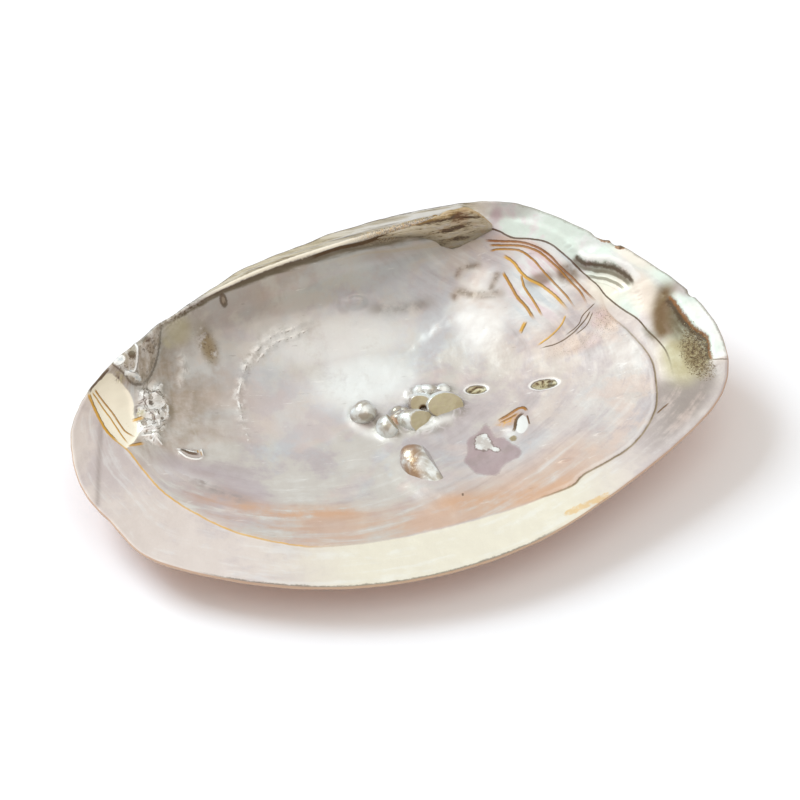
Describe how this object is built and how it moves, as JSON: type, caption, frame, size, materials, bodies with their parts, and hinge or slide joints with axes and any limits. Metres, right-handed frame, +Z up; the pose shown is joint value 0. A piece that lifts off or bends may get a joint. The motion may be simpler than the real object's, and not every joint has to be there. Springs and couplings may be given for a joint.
{
  "type": "freshwater pearl mussel half shell",
  "caption": "One valve of a freshwater pearl mussel lying hollow side up, a shallow nacre dish with a hinge crest, a hind wing and blister pearls grown on its floor.",
  "frame": {"origin": "on the surface the shell rests on, under the middle of its bounding box", "axes": "+X along the length towards the hind end, +Y towards the hinge, +Z up, out of the hollow"},
  "size_m": [0.1738, 0.114, 0.0297],
  "materials": {
    "nacre": "polished mother of pearl, silver grey with lilac, pink and cream, brown growth lines at the hinge and wing"
  },
  "bodies": {
    "root": {"shell": "nacre"}
  },
  "joints": []
}
